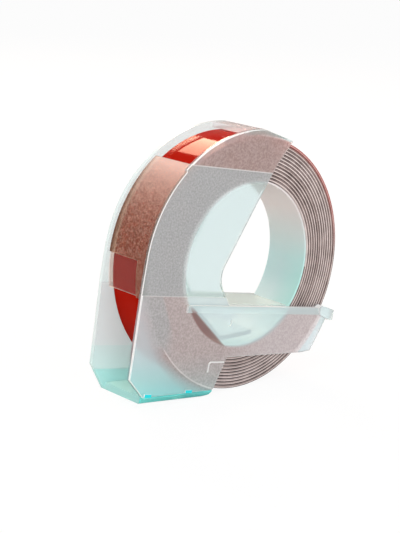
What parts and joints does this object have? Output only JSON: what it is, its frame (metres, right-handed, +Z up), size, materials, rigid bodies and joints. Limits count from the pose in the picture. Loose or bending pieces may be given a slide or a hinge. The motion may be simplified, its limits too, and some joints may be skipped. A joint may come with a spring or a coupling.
{
  "type": "embossing tape cartridge",
  "caption": "Refill cartridge for an embossing label maker: coil of red vinyl tape on a thin core ring between two clear cheeks, with a frosted rim guard and an open foot.",
  "frame": {"origin": "centre of the bounding box at its bottom, on the surface that the cartridge stands on", "axes": "+Z up as it stands on its foot and the coil's rim, +Y along the coil's axis towards the tray's cheek, +X towards the arm's tab"},
  "size_m": [0.0478, 0.0116, 0.0457],
  "materials": {
    "clear_plastic": "clear moulded plastic, teal at its edges",
    "frosted_plastic": "fine frosted texture",
    "ring_plastic": "pale teal, satin",
    "red_vinyl": "high gloss",
    "liner_film": "satin film"
  },
  "bodies": {
    "holder": {"near_cover": "clear_plastic", "far_tray": "clear_plastic", "frosted_guard": "frosted_plastic"},
    "roll": {"core_ring": "ring_plastic", "tape_vinyl": "red_vinyl", "tape_liner": "liner_film"}
  },
  "joints": [
    {"name": "roll_spin", "type": "hinge", "parent": "holder", "child": "roll", "pos_m": [0.00178, 0.00035, 0.02223], "axis": [0, 1, 0], "continuous": true}
  ]
}
